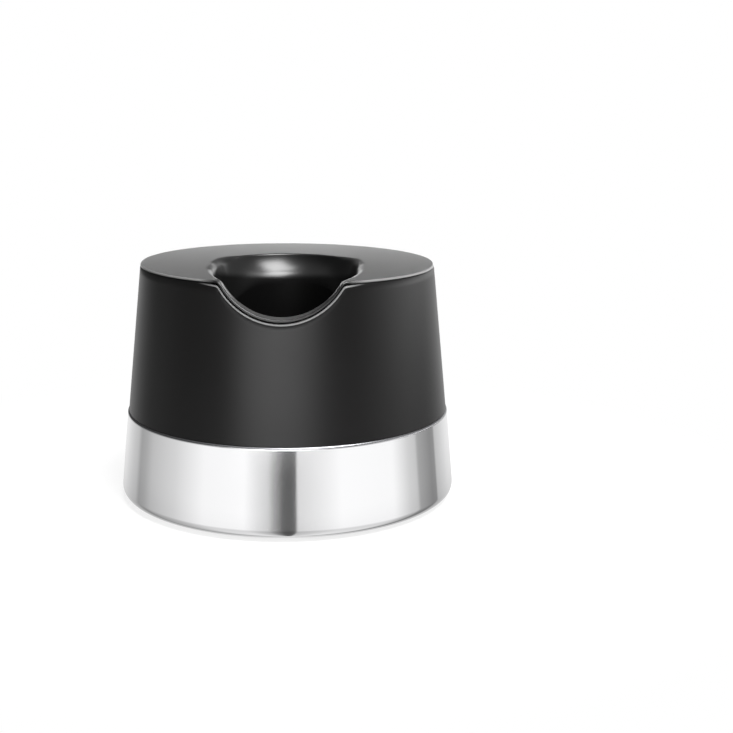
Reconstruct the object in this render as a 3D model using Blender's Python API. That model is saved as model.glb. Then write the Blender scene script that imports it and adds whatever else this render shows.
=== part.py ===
"""Razor stand: a weighted desk stand for a wet razor.

A black moulded sleeve with a rounded notch in front stands on a turned steel band. A black
moulded cup drops in from above: its thin flange closes the sleeve, its lip follows the notch,
and its bowl leads the handle down into a pocket. A cast weight lies in a tray underneath,
three screws draw the tray and the sleeve together round the steel band, and a rubber pad
covers the screws. Lengths are in metres, +Z is up and the notch faces -Y. The origin is on
the table, under the middle of the stand.
"""

import math

import bmesh
import bpy
from mathutils import Matrix, Vector

mm = 0.001

# Outline of the stand
steel_foot_radius = 24.13 * mm
steel_taper = 1.17 * mm
steel_height = 12.1 * mm
sleeve_step = 0.14 * mm
sleeve_taper = 2.17 * mm
sleeve_height = 20.9 * mm
pad_proud = 0.4 * mm

# Fits between neighbours, and the distance within which points are one
seat_gap = 0.3 * mm
rim_gap = 0.25 * mm
weld_distance = 0.0003 * mm

# Notch in front, drawn on the inner line of the cup's lip
notch_radius = 8.91 * mm
notch_rise = 4.26 * mm
notch_corner_radius = 1.2 * mm

# Sleeve
sleeve_wall = 1.4 * mm
sleeve_edge_radius = 0.25 * mm
sleeve_foot_edge = 0.2 * mm
spigot_wall = 1.5 * mm
spigot_length = 4.4 * mm
spigot_lead = 1.8 * mm
boss_radius = 2.8 * mm
boss_cap = 0.6 * mm
gusset_width = 1.4 * mm
gusset_height = 5.5 * mm
gusset_top_length = 1.5 * mm
catch_height = 1.0 * mm

# Cup
lip_thickness = 0.3 * mm
lip_edge_radius = 0.2 * mm
cup_wall = 1.6 * mm
plug_depth = 2.0 * mm
bowl_centre_y = -2.1 * mm
bowl_radius = 10.0 * mm
bowl_hollow_radius = 6.0 * mm
bowl_rim_angle = 18.0
bowl_lip_round_rear = 0.3 * mm
bowl_lip_round_side = 1.5 * mm
bowl_merge_power = 6
underside_blend = 1.0 * mm
pocket_radius = 8.2 * mm
pocket_depth = 18.2 * mm
pocket_draft = 8.0
pocket_mouth_round = 1.0 * mm
pocket_floor_round = 1.6 * mm
spout_fall = 3.5 * mm
spout_run = 9.0 * mm
spout_end_radius = 4.0 * mm
cup_floor_room = 1.6 * mm
hook_angles = (90.0, -18.0, 198.0)
hook_width = 4.0 * mm
hook_length = 5.0 * mm
hook_thickness = 1.2 * mm
hook_barb = 0.75 * mm
hook_barb_height = 1.2 * mm

# Steel band
steel_foot_round = 1.2 * mm
steel_lip_round = 0.4 * mm
steel_wall = 1.96 * mm
steel_bore_chamfer = 0.4 * mm
steel_foot_ledge = 1.73 * mm
steel_recess_depth = 1.3 * mm

# Tray, pad and weight
tray_floor = 2.0 * mm
tray_tongue_wall = 1.2 * mm
tray_seat_wall = 0.7 * mm
tray_seat_thickness = 1.4 * mm
tray_pad_rim = 1.8 * mm
pad_thickness = 1.0 * mm
pad_edge_round = 0.3 * mm
weight_chamfer = 0.6 * mm
weight_slot_clearance = 0.4 * mm

# Screws
screw_angles = (90.0, 210.0, 330.0)
screw_inset = 3.1 * mm
screw_radius = 1.1 * mm
screw_head_radius = 2.3 * mm
screw_head_height = 1.6 * mm
screw_head_round = 0.7 * mm
screw_head_inset = 0.15 * mm
screw_tip_length = 1.0 * mm
screw_end_room = 0.3 * mm
screw_hole_clearance = 0.4 * mm
drive_width = 0.7 * mm
drive_depth = 0.8 * mm
drive_reach = 1.3 * mm
drive_angles = (0.0, 90.0)

# How finely round forms are divided, and how far cutters overrun
turn_steps = 72
hidden_turn_steps = 48
small_turn_steps = 16
notch_steps = 9
corner_steps = 3
side_steps = 26
side_step_power = 1.2
flat_stations = 7
under_stations = (3, 2, 6)
trace_steps = 1200
settle_steps = 6
foot_steps = 4
edge_steps = 3
bowl_steps = 6
bowl_lip_steps = 4
bend_weight_share = 1.0
overrun = 1.0 * mm

# Levels and radii that follow from the sizes above
steel_bottom = pad_proud
seam_height = steel_bottom + steel_height
top_height = seam_height + sleeve_height
steel_top_radius = steel_foot_radius - steel_taper
steel_bore_radius = steel_top_radius - steel_wall
steel_recess_radius = steel_foot_radius - steel_foot_ledge
sleeve_foot_radius = steel_top_radius - sleeve_step
sleeve_top_radius = sleeve_foot_radius - sleeve_taper
sleeve_offset = lip_thickness + rim_gap
plug_inset = sleeve_wall + rim_gap
spigot_radius = steel_bore_radius - seat_gap
spigot_inner_radius = spigot_radius - spigot_wall
spigot_bottom = seam_height - spigot_length
spigot_lead_top = seam_height + spigot_lead
cup_bottom = top_height - pocket_depth - cup_wall
tray_tongue_radius = spigot_inner_radius - seat_gap
tray_inner_radius = tray_tongue_radius - tray_tongue_wall
tray_lip_radius = steel_recess_radius - seat_gap
tray_recess_radius = tray_lip_radius - tray_pad_rim
tray_recess_top = pad_thickness + seat_gap
tray_floor_top = tray_recess_top + tray_floor
pad_radius = tray_recess_radius - seat_gap
weight_radius = tray_inner_radius - seat_gap
weight_bottom = tray_floor_top + seat_gap
weight_top = cup_bottom - cup_floor_room
gusset_bottom = weight_top + seat_gap
screw_circle_radius = tray_inner_radius - screw_inset
screw_head_bottom = tray_recess_top + screw_head_inset
screw_bearing = screw_head_bottom + screw_head_height
seat_bottom = screw_bearing + seat_gap
seat_top = seat_bottom + tray_seat_thickness
seat_bore_radius = screw_head_radius + seat_gap
seat_radius = seat_bore_radius + tray_seat_wall
boss_bottom = seat_top + seat_gap
boss_top = cup_bottom - seat_gap
boss_bore_top = boss_top - boss_cap
boss_bore_radius = screw_radius + seat_gap
screw_tip = boss_bore_top - screw_end_room


def clear_scene():
    for item in list(bpy.data.objects):
        bpy.data.objects.remove(item, do_unlink=True)


def make_material(name, colour, metallic, roughness):
    material = bpy.data.materials.new(name)
    material.use_nodes = True
    shader = material.node_tree.nodes["Principled BSDF"]
    shader.inputs["Base Color"].default_value = (*colour, 1.0)
    shader.inputs["Metallic"].default_value = metallic
    shader.inputs["Roughness"].default_value = roughness
    material.diffuse_color = (*colour, 1.0)
    return material


def finish(name, mesh, material, sharp_angle=32.0):
    """Turn a bmesh into an object with outward faces and smooth shading."""
    bmesh.ops.remove_doubles(mesh, verts=mesh.verts, dist=weld_distance)
    bmesh.ops.recalc_face_normals(mesh, faces=mesh.faces)
    data = bpy.data.meshes.new(name)
    mesh.to_mesh(data)
    mesh.free()
    data.shade_smooth()
    data.set_sharp_from_angle(angle=math.radians(sharp_angle))
    data.materials.append(material)
    piece = bpy.data.objects.new(name, data)
    bpy.context.scene.collection.objects.link(piece)
    return piece


def combine(piece, name, mesh, operation):
    """Join a helper shape to a piece, or cut it away."""
    helper = finish(name, mesh, piece.data.materials[0])
    helper.hide_render = True
    helper.display_type = "WIRE"
    modifier = piece.modifiers.new(name, "BOOLEAN")
    modifier.operation = operation
    modifier.object = helper
    helper.parent = piece


def arc(centre_radius, centre_height, radius, start, stop, steps):
    """Points of a round corner in a profile, its angles in degrees up from outwards."""
    points = []
    for step in range(steps + 1):
        angle = math.radians(start + (stop - start) * step / steps)
        height = centre_height + radius * math.sin(angle)
        points.append((centre_radius + radius * math.cos(angle), height))
    return points


def turned(profile, steps, closed=False):
    """Spin a profile of (radius, height) points once round the middle of the stand."""
    mesh = bmesh.new()
    verts = [mesh.verts.new((radius, 0.0, height)) for radius, height in profile]
    edges = [mesh.edges.new(pair) for pair in zip(verts, verts[1:])]
    if closed:
        edges.append(mesh.edges.new((verts[-1], verts[0])))
    axis = (0, 0, 1)
    bmesh.ops.spin(mesh, geom=verts + edges, cent=(0, 0, 0), axis=axis, angle=math.tau, steps=steps)
    return mesh


def on_screw_circle(profile):
    """Spin a small profile about a screw's axis."""
    mesh = turned(profile, small_turn_steps)
    bmesh.ops.translate(mesh, verts=mesh.verts, vec=(screw_circle_radius, 0.0, 0.0))
    return mesh


def pillar(radius, low, high):
    return on_screw_circle([(0.0, low), (radius, low), (radius, high), (0.0, high)])


def boss():
    """A screw boss with its blind bore."""
    profile = [(0.0, boss_bore_top), (boss_bore_radius, boss_bore_top), (boss_bore_radius, boss_bottom)]
    profile += [(boss_radius, boss_bottom), (boss_radius, boss_top), (0.0, boss_top)]
    return on_screw_circle(profile)


def plate(outline, width):
    """An upright plate: an outline of (radius, height) points, given a width."""
    mesh = bmesh.new()
    verts = [mesh.verts.new((radius, -width / 2, height)) for radius, height in outline]
    grown = bmesh.ops.extrude_face_region(mesh, geom=[mesh.faces.new(verts)])
    moved = [item for item in grown["geom"] if isinstance(item, bmesh.types.BMVert)]
    bmesh.ops.translate(mesh, verts=moved, vec=(0.0, width, 0.0))
    return mesh


def turn_shape(shape, degrees):
    """Turn a shape about the middle of the stand."""
    turn = Matrix.Rotation(math.radians(degrees), 3, "Z")
    bmesh.ops.rotate(shape, verts=shape.verts, cent=(0, 0, 0), matrix=turn)


def placed_round(make_shape, angles):
    """One mesh with a copy of a shape at each angle round the stand."""
    group = bmesh.new()
    for angle in angles:
        shape = make_shape()
        turn_shape(shape, angle)
        data = bpy.data.meshes.new("copy")
        shape.to_mesh(data)
        shape.free()
        group.from_mesh(data)
        bpy.data.meshes.remove(data)
    return group


def sleeve_radius(height):
    """Outer radius of the tapered sleeve."""
    share = (height - seam_height) / sleeve_height
    return sleeve_foot_radius + (sleeve_top_radius - sleeve_foot_radius) * share


def spout_drop(x, y):
    """How far the spout has fallen below the notch; past the bowl's middle it rises away."""
    front = -math.sqrt(max(sleeve_top_radius ** 2 - x ** 2, 0.0))
    share = min(max((y - front - plug_inset) / spout_run, 0.0), 1.0)
    past = max(y - bowl_centre_y, 0.0)
    return spout_fall * (1.0 - (1.0 - share) ** 2) - past ** 2 / (2 * spout_end_radius)


def rim_height(side, offset, drop):
    """Height of the rim line at a distance from the middle plane.

    The line is the flat top, a convex corner and the round notch. The offset moves it into
    the wall, and the drop lowers the notch alone, as the spout does on its way inwards.
    """
    side = abs(side)
    rise = notch_rise - drop
    span = notch_radius + notch_corner_radius
    corner_lift = max(rise + notch_corner_radius, 0.0)
    corner_side = math.sqrt(max(span ** 2 - corner_lift ** 2, 0.0))
    notch = notch_radius + offset
    corner = notch_corner_radius - offset
    if side >= corner_side:
        return top_height - offset
    if side >= corner_side * notch / span:
        return top_height - notch_corner_radius + math.sqrt(corner ** 2 - (corner_side - side) ** 2)
    return top_height + rise - math.sqrt(notch ** 2 - side ** 2)


def rim_point(angle, offset, inset):
    """A point on the rim line, inset from the sleeve's side; the angle is from the front."""
    height = top_height - offset
    for _ in range(settle_steps):
        radius = sleeve_radius(height) - inset
        side = radius * math.sin(angle)
        depth = -radius * math.cos(angle)
        height = rim_height(side, offset, min(spout_drop(side, depth), 0.0))
    return Vector((side, depth, height))


def rib_angles():
    """Angles from the front at which the sleeve and the cup are drawn, closest in the notch."""
    span = notch_radius + notch_corner_radius
    lean = math.acos((notch_rise + notch_corner_radius) / span)
    sides = [notch_radius * math.sin(lean * step / notch_steps) for step in range(notch_steps + 1)]
    corner_side = span * math.sin(lean)
    for step in range(1, corner_steps + 1):
        sides.append(sides[notch_steps] + (corner_side - sides[notch_steps]) * step / corner_steps)
    half = [math.asin(side / sleeve_top_radius) for side in sides]
    last = half[-1]
    for step in range(1, side_steps + 1):
        half.append(last + (math.pi - last) * (step / side_steps) ** side_step_power)
    return [-angle for angle in reversed(half[1:-1])] + half


def skin(paths, closed):
    """Faces between neighbouring paths, all round; open paths end in a shared pole."""
    mesh = bmesh.new()
    rows = [[mesh.verts.new(point) for point in path] for path in paths]
    for row, following in zip(rows, rows[1:] + rows[:1]):
        count = len(row)
        for index in range(count if closed else count - 1):
            other = (index + 1) % count
            mesh.faces.new((row[index], row[other], following[other], following[index]))
    bmesh.ops.remove_doubles(mesh, verts=mesh.verts, dist=weld_distance)
    return mesh


def bowl_profile(wall, lip_round):
    """The bowl and pocket as (radius, height) points from the middle out; the wall thickens it.

    With a lip round, the bowl turns over into the flat top; without, it runs on upwards.
    """
    draft = math.radians(pocket_draft)
    rim_angle = math.radians(bowl_rim_angle)
    dish_radius = bowl_radius - bowl_hollow_radius * math.cos(rim_angle)
    dish_height = top_height + bowl_hollow_radius * math.sin(rim_angle)
    mouth_radius = pocket_radius + pocket_mouth_round * math.cos(draft)
    reach = bowl_hollow_radius + pocket_mouth_round
    dish_end = math.acos((mouth_radius - dish_radius) / reach)
    mouth_height = dish_height - reach * math.sin(dish_end)
    floor = top_height - pocket_depth - wall
    hollow = bowl_hollow_radius + wall
    if wall > pocket_mouth_round:
        dish_end = math.acos((pocket_radius + wall - dish_radius) / hollow)
        neck = [(pocket_radius + wall, dish_height - hollow * math.sin(dish_end))]
    else:
        neck_end = 180 - math.degrees(dish_end)
        neck = arc(mouth_radius, mouth_height, pocket_mouth_round, 180 - pocket_draft, neck_end, foot_steps)
    floor_round = pocket_floor_round + wall
    drop = neck[0][1] - floor - floor_round
    foot_radius = neck[0][0] - drop * math.tan(draft) - floor_round / math.cos(draft)
    foot = arc(foot_radius, floor + floor_round, floor_round, -90, -pocket_draft, foot_steps)
    lip = []
    lip_angle = 0.0
    if lip_round:
        lip_rise = dish_height - top_height + lip_round
        lip_reach = math.sqrt((hollow + lip_round) ** 2 - lip_rise ** 2)
        lip_angle = math.degrees(math.atan2(lip_rise, lip_reach))
        lip_middle = dish_radius + lip_reach
        lip = arc(lip_middle, top_height - lip_round, lip_round, 180 - lip_angle, 90, bowl_lip_steps)[1:]
    dish = arc(dish_radius, dish_height, hollow, -math.degrees(dish_end), -lip_angle, bowl_steps)[1:]
    return [(0.0, floor)] + foot + neck + dish + lip


def height_on(profile, distance):
    """Height of a profile at a distance from its middle."""
    for (radius, height), (next_radius, next_height) in zip(profile, profile[1:]):
        if radius <= distance <= next_radius and next_radius > radius:
            share = (distance - radius) / (next_radius - radius)
            return height + (next_height - height) * share
    return profile[-1][1] + distance - profile[-1][0]


def rounded_lower(first, second, blend):
    """The lower of two heights, with their crossing rounded over."""
    overlap = max(blend - abs(first - second), 0.0)
    return min(first, second) - overlap ** 2 / (4 * blend)


bowl_rear = bowl_profile(0.0, bowl_lip_round_rear)
bowl_side = bowl_profile(0.0, bowl_lip_round_side)
bowl_outside = bowl_profile(cup_wall, 0.0)


def cup_top(x, y, bowl_height):
    """Height of the cup's upper face, where the spout's hollow and the bowl's flow together."""
    spout_depth = top_height - rim_height(x, 0.0, spout_drop(x, y))
    bowl_depth = top_height - bowl_height
    merged = spout_depth ** bowl_merge_power + bowl_depth ** bowl_merge_power
    return top_height - merged ** (1 / bowl_merge_power)


def cup_underside(x, y):
    """Heights of the cup's lower faces inside the sleeve, and their rounding."""
    spout_wall = notch_radius + cup_wall
    outer = top_height - plug_depth
    if abs(x) < spout_wall:
        spout = top_height + notch_rise - spout_drop(x, y) - math.sqrt(spout_wall ** 2 - x ** 2)
        outer = min(outer, spout)
    return outer, height_on(bowl_outside, math.hypot(x, y - bowl_centre_y)), underside_blend


def spread(points, count):
    """The count points after the first that share a line out evenly, closer where it bends."""
    lengths = [0.0]
    for index in range(1, len(points)):
        ahead = points[index] - points[index - 1]
        bend = 0.0
        if index > 1:
            bend = ahead.angle(points[index - 1] - points[index - 2])
        lengths.append(lengths[-1] + ahead.length + bend * bowl_radius * bend_weight_share)
    chosen = []
    index = 0
    for station in range(1, count + 1):
        wanted = lengths[-1] * station / count
        while index < len(points) - 2 and lengths[index + 1] < wanted:
            index += 1
        share = (wanted - lengths[index]) / (lengths[index + 1] - lengths[index])
        chosen.append(points[index].lerp(points[index + 1], min(share, 1.0)))
    return chosen


def traced_top(start):
    """Upper face from a place on the brim inwards: the flat top or spout, then the bowl's rings."""
    middle = Vector((0.0, bowl_centre_y))
    ray = (start - middle).normalized()
    share = min(1.0 - ray.y, 1.0)
    share = (share ** 2 * (3 - 2 * share)) ** 2
    rings = []
    for rear, side in zip(bowl_rear, bowl_side):
        place = middle + ray * (rear[0] + (side[0] - rear[0]) * share)
        bowl_height = rear[1] + (side[1] - rear[1]) * share
        rings.append(Vector((*place, cup_top(*place, bowl_height))))
    line = []
    for step in range(trace_steps + 1):
        place = start.lerp(rings[-1].xy, step / trace_steps)
        line.append(Vector((*place, cup_top(*place, top_height))))
    return [line[0]] + spread(line, flat_stations) + list(reversed(rings[:-1]))


def traced_underside(start):
    """Lower face from the plug's edge to the pocket's middle, over its two bodies and their rounding."""
    middle = Vector((0.0, bowl_centre_y))
    line = []
    marks = [0]
    for step in range(trace_steps + 1):
        place = start.lerp(middle, step / trace_steps)
        outer, bowl, blend = cup_underside(*place)
        line.append(Vector((*place, rounded_lower(outer, bowl, blend))))
        if len(marks) == 1 and bowl - outer < blend:
            marks.append(step)
        if len(marks) == 2 and outer - bowl > blend:
            marks.append(step)
    marks.append(trace_steps)
    stations = [line[0]]
    for first, last, count in zip(marks, marks[1:], under_stations):
        stations += spread(line[first:last + 1], count)
    return stations


def cup_path(angle):
    """Section of the cup at one angle, from the pocket floor out over the lip and back below."""
    outward = Vector((math.sin(angle), -math.cos(angle), 0.0))
    brim = rim_point(angle, 0.0, lip_edge_radius)
    top = traced_top(brim.xy)
    edge = []
    for reach, height in arc(0.0, top[0].z - lip_edge_radius, lip_edge_radius, 90, 0, edge_steps)[1:]:
        edge.append(Vector((brim.x, brim.y, height)) + outward * reach)
    edge.append(rim_point(angle, lip_thickness, 0.0))
    rebate = rim_point(angle, lip_thickness, plug_inset)
    return list(reversed(top)) + edge + [rebate] + traced_underside(rebate.xy)


def make_cup(material):
    paths = [cup_path(angle) for angle in rib_angles()]
    cup = finish("razor_cup", skin(paths, closed=False), material)
    root = top_height - plug_depth / 2
    outer = sleeve_top_radius - plug_inset - rim_gap
    inner = outer - hook_thickness
    low = top_height - plug_depth - hook_length
    barb_middle = low + hook_barb_height / 2
    barb_top = low + hook_barb_height
    outline = [(inner, root), (inner, low), (outer, low), (outer + hook_barb, barb_middle)]
    outline += [(outer + hook_barb, barb_top), (outer, barb_top), (outer, root)]
    hooks = placed_round(lambda: plate(outline, hook_width), hook_angles)
    combine(cup, "hook_shapes", hooks, "UNION")
    return cup


def wall_middle(height):
    """Radius of the middle of the sleeve's wall: the spigot, then the flare, then the side."""
    spigot_middle = spigot_radius - spigot_wall / 2
    share = min(max((height - seam_height) / spigot_lead, 0.0), 1.0)
    side_middle = sleeve_radius(max(height, spigot_lead_top)) - sleeve_wall / 2
    return spigot_middle + (side_middle - spigot_middle) * share


def sleeve_path(angle):
    """Closed section of the sleeve at one angle."""
    outward = Vector((math.sin(angle), -math.cos(angle), 0.0))
    foot = seam_height + seat_gap
    brim = rim_point(angle, sleeve_offset, 0.0)
    edge_height = brim.z - sleeve_edge_radius
    edge_radius = brim.xy.length - sleeve_edge_radius
    section = [(spigot_inner_radius, spigot_bottom), (spigot_radius, spigot_bottom)]
    section += [(spigot_radius, foot), (sleeve_radius(foot) - sleeve_foot_edge, foot)]
    section += [(sleeve_radius(foot), foot + sleeve_foot_edge)]
    section += arc(edge_radius, edge_height, sleeve_edge_radius, 0, 90, edge_steps)
    inner_brim = rim_point(angle, sleeve_offset, sleeve_wall)
    section += [(inner_brim.xy.length, inner_brim.z)]
    section += [(sleeve_radius(spigot_lead_top) - sleeve_wall, spigot_lead_top)]
    section += [(spigot_inner_radius, seam_height)]
    return [outward * radius + Vector((0.0, 0.0, height)) for radius, height in section]


def make_sleeve(material):
    paths = [sleeve_path(angle) for angle in rib_angles()]
    sleeve = finish("outer_sleeve", skin(paths, closed=True), material)
    gusset_top = gusset_bottom + gusset_height
    levels = [gusset_bottom, gusset_top]
    levels += [level for level in (seam_height, spigot_lead_top) if gusset_bottom < level < gusset_top]
    gusset = [(wall_middle(level), level) for level in sorted(levels)]
    gusset += [(wall_middle(gusset_top) - gusset_top_length, gusset_top)]
    gusset_root = screw_circle_radius + (boss_bore_radius + boss_radius) / 2
    gusset += [(gusset_root, boss_top - boss_cap / 2), (gusset_root, gusset_bottom)]
    catch_low = top_height - plug_depth - hook_length + hook_barb_height + seat_gap
    catch_high = catch_low + catch_height
    catch_inner = sleeve_top_radius - plug_inset - rim_gap + seat_gap
    catch = [(catch_inner, catch_low), (wall_middle(catch_low), catch_low)]
    catch += [(wall_middle(catch_high), catch_high), (catch_inner, catch_high)]
    gussets = placed_round(lambda: plate(gusset, gusset_width), screw_angles)
    bosses = placed_round(boss, screw_angles)
    catches = placed_round(lambda: plate(catch, hook_width), hook_angles)
    combine(sleeve, "gusset_shapes", gussets, "UNION")
    combine(sleeve, "boss_shapes", bosses, "UNION")
    combine(sleeve, "catch_shapes", catches, "UNION")
    return sleeve


def make_steel_band(material):
    lean = math.atan(steel_taper / steel_height)

    def side(height):
        return steel_foot_radius - (height - steel_bottom) * math.tan(lean)

    degrees = math.degrees(lean)
    foot_height = steel_bottom + steel_foot_round
    foot_middle = side(foot_height) - steel_foot_round / math.cos(lean)
    lip_height = seam_height - steel_lip_round
    lip_middle = side(lip_height) - steel_lip_round / math.cos(lean)
    recess_top = steel_bottom + steel_recess_depth
    profile = [(steel_recess_radius, recess_top), (steel_recess_radius, steel_bottom)]
    profile += arc(foot_middle, foot_height, steel_foot_round, -90, degrees, foot_steps)
    profile += arc(lip_middle, lip_height, steel_lip_round, degrees, 90, edge_steps)
    profile += [(steel_bore_radius + steel_bore_chamfer, seam_height)]
    profile += [(steel_bore_radius, seam_height - steel_bore_chamfer), (steel_bore_radius, recess_top)]
    return finish("steel_band", turned(profile, turn_steps, closed=True), material)


def make_tray(material):
    lip_top = steel_bottom + steel_recess_depth - seat_gap
    wall_top = spigot_bottom - seat_gap
    profile = [(0.0, tray_recess_top), (tray_recess_radius, tray_recess_top)]
    profile += [(tray_recess_radius, steel_bottom), (tray_lip_radius, steel_bottom)]
    profile += [(tray_lip_radius, lip_top), (spigot_radius, lip_top), (spigot_radius, wall_top)]
    profile += [(tray_tongue_radius, wall_top), (tray_tongue_radius, weight_top)]
    profile += [(tray_inner_radius, weight_top), (tray_inner_radius, tray_floor_top), (0.0, tray_floor_top)]
    tray = finish("base_tray", turned(profile, hidden_turn_steps), material)
    seat_root = tray_floor_top - tray_floor / 2
    hole_radius = screw_radius + screw_hole_clearance
    seats = placed_round(lambda: pillar(seat_radius, seat_root, seat_top), screw_angles)
    bore_low = tray_recess_top - overrun
    bores = placed_round(lambda: pillar(seat_bore_radius, bore_low, seat_bottom), screw_angles)
    holes = placed_round(lambda: pillar(hole_radius, seat_bottom - overrun, seat_top + overrun), screw_angles)
    combine(tray, "screw_seats", seats, "UNION")
    combine(tray, "head_bores", bores, "DIFFERENCE")
    combine(tray, "screw_holes", holes, "DIFFERENCE")
    return tray


def make_weight(material):
    low = weight_bottom + weight_chamfer
    high = weight_top - weight_chamfer
    profile = [(0.0, weight_bottom), (weight_radius - weight_chamfer, weight_bottom), (weight_radius, low)]
    profile += [(weight_radius, high), (weight_radius - weight_chamfer, weight_top), (0.0, weight_top)]
    weight = finish("ballast_weight", turned(profile, hidden_turn_steps), material)
    slot_radius = seat_radius + weight_slot_clearance
    low = weight_bottom - overrun
    high = weight_top + overrun
    slots = placed_round(lambda: pillar(slot_radius, low, high), screw_angles)
    combine(weight, "boss_slots", slots, "DIFFERENCE")
    return weight


def make_screw(index, material):
    round_middle = screw_head_radius - screw_head_round
    profile = [(0.0, screw_head_bottom)]
    profile += arc(round_middle, screw_head_bottom + screw_head_round, screw_head_round, -90, 0, edge_steps)
    profile += [(screw_head_radius, screw_bearing), (screw_radius, screw_bearing)]
    profile += [(screw_radius, screw_tip - screw_tip_length), (0.0, screw_tip)]
    screw = finish(f"base_screw_{index + 1}", turned(profile, small_turn_steps), material)
    low = screw_head_bottom - overrun
    high = screw_head_bottom + drive_depth
    outline = [(-drive_reach, low), (drive_reach, low), (drive_reach, high), (-drive_reach, high)]
    for number, turn in enumerate(drive_angles):
        slot = plate(outline, drive_width)
        turn_shape(slot, turn)
        combine(screw, f"drive_slot_{index + 1}_{number + 1}", slot, "DIFFERENCE")
    angle = math.radians(screw_angles[index])
    screw.location = Vector((math.cos(angle), math.sin(angle), 0.0)) * screw_circle_radius
    screw.rotation_euler = (0.0, 0.0, angle)
    return screw


def make_pad(material):
    inner = pad_radius - pad_edge_round
    profile = [(0.0, 0.0)] + arc(inner, pad_edge_round, pad_edge_round, -90, 0, edge_steps)
    profile += [(pad_radius, pad_thickness), (0.0, pad_thickness)]
    return finish("non_slip_pad", turned(profile, hidden_turn_steps), material)


def build():
    clear_scene()
    black = make_material("black_abs", (0.012, 0.012, 0.013), 0.0, 0.34)
    cup_black = make_material("cup_abs", (0.01, 0.01, 0.01), 0.0, 0.26)
    steel = make_material("polished_steel", (0.78, 0.78, 0.79), 1.0, 0.12)
    tray_black = make_material("tray_abs", (0.02, 0.02, 0.02), 0.0, 0.5)
    iron = make_material("cast_iron", (0.09, 0.09, 0.095), 1.0, 0.6)
    zinc = make_material("zinc_plate", (0.6, 0.6, 0.62), 1.0, 0.35)
    rubber = make_material("black_rubber", (0.015, 0.015, 0.015), 0.0, 0.8)
    make_steel_band(steel)
    make_tray(tray_black)
    make_weight(iron)
    make_sleeve(black)
    make_cup(cup_black)
    for index in range(len(screw_angles)):
        make_screw(index, zinc)
    make_pad(rubber)


build()
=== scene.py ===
import math

import bpy
import numpy as np
from mathutils import Matrix, Vector


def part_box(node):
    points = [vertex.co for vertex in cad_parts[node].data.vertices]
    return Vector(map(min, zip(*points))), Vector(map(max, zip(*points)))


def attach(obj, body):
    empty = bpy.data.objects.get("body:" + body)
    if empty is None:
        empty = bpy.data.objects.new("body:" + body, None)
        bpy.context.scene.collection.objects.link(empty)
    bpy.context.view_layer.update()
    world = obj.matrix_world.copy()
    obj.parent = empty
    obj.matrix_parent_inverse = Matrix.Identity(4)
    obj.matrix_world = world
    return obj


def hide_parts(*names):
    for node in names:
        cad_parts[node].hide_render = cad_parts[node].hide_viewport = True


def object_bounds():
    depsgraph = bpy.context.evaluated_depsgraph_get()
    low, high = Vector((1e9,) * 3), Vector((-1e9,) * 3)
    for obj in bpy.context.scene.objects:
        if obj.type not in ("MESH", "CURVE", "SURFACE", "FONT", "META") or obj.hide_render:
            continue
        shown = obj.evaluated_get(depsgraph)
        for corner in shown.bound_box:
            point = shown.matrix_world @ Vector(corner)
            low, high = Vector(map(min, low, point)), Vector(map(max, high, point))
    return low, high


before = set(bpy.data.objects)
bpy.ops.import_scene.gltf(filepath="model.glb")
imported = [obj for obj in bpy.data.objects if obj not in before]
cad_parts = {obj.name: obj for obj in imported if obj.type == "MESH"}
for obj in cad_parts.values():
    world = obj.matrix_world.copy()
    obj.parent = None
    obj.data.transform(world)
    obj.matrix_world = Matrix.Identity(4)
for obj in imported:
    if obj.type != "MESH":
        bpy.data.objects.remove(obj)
cad_low, cad_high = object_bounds()


# Camera: it stands in front of the notch, a little to its right, and looks slightly down.
# It was levelled by eye, so it leans a little. Lengths are in metres, angles in radians, and
# the lens is in millimetres.
camera_distance = 0.17633
camera_height = 0.05765
camera_yaw = 0.0640
camera_pitch = 0.2208
camera_roll = 0.0105
camera_round_stand = math.radians(2.79)
lens_length, sensor_width = 61.24, 36.0

forward = Vector((math.sin(camera_yaw) * math.cos(camera_pitch),
                  math.cos(camera_yaw) * math.cos(camera_pitch), -math.sin(camera_pitch)))
level_right = Vector((math.cos(camera_yaw), -math.sin(camera_yaw), 0.0))
level_up = level_right.cross(forward)
right = level_right * math.cos(camera_roll) + level_up * math.sin(camera_roll)
up = level_up * math.cos(camera_roll) - level_right * math.sin(camera_roll)
turn = Matrix.Rotation(camera_round_stand, 4, "Z")
axes = Matrix((right, up, -forward)).transposed().to_4x4()
camera_data = bpy.data.cameras.new("camera")
camera_data.sensor_width = sensor_width
camera_data.lens = lens_length
camera_data.clip_start = 0.005
camera_data.clip_end = 20.0
camera = bpy.data.objects.new("camera", camera_data)
camera.matrix_world = turn @ Matrix.Translation((0.0, -camera_distance, camera_height)) @ axes
bpy.context.scene.collection.objects.link(camera)
bpy.context.scene.camera = camera
bpy.context.scene.view_settings.view_transform = "Standard"


# Studio: a white room, drawn by direction. The steel mirrors its lower walls, with a dark flag in
# front and a grey one on each side. The black plastic mirrors soft panels just above them, and
# dimmer walls higher up.
def new_node(tree, kind, **settings):
    """Add a node and set its properties by name."""
    node = tree.nodes.new(kind)
    for name, value in settings.items():
        setattr(node, name, value)
    return node


def share_between(tree, low, high, to_low=0.0, to_high=1.0, shape="LINEAR"):
    """Add a node that turns the values from low to high into a share, or into other limits."""
    node = new_node(tree, "ShaderNodeMapRange", interpolation_type=shape)
    limits = {"From Min": low, "From Max": high, "To Min": to_low, "To Max": to_high}
    for name, value in limits.items():
        node.inputs[name].default_value = value
    return node


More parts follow.
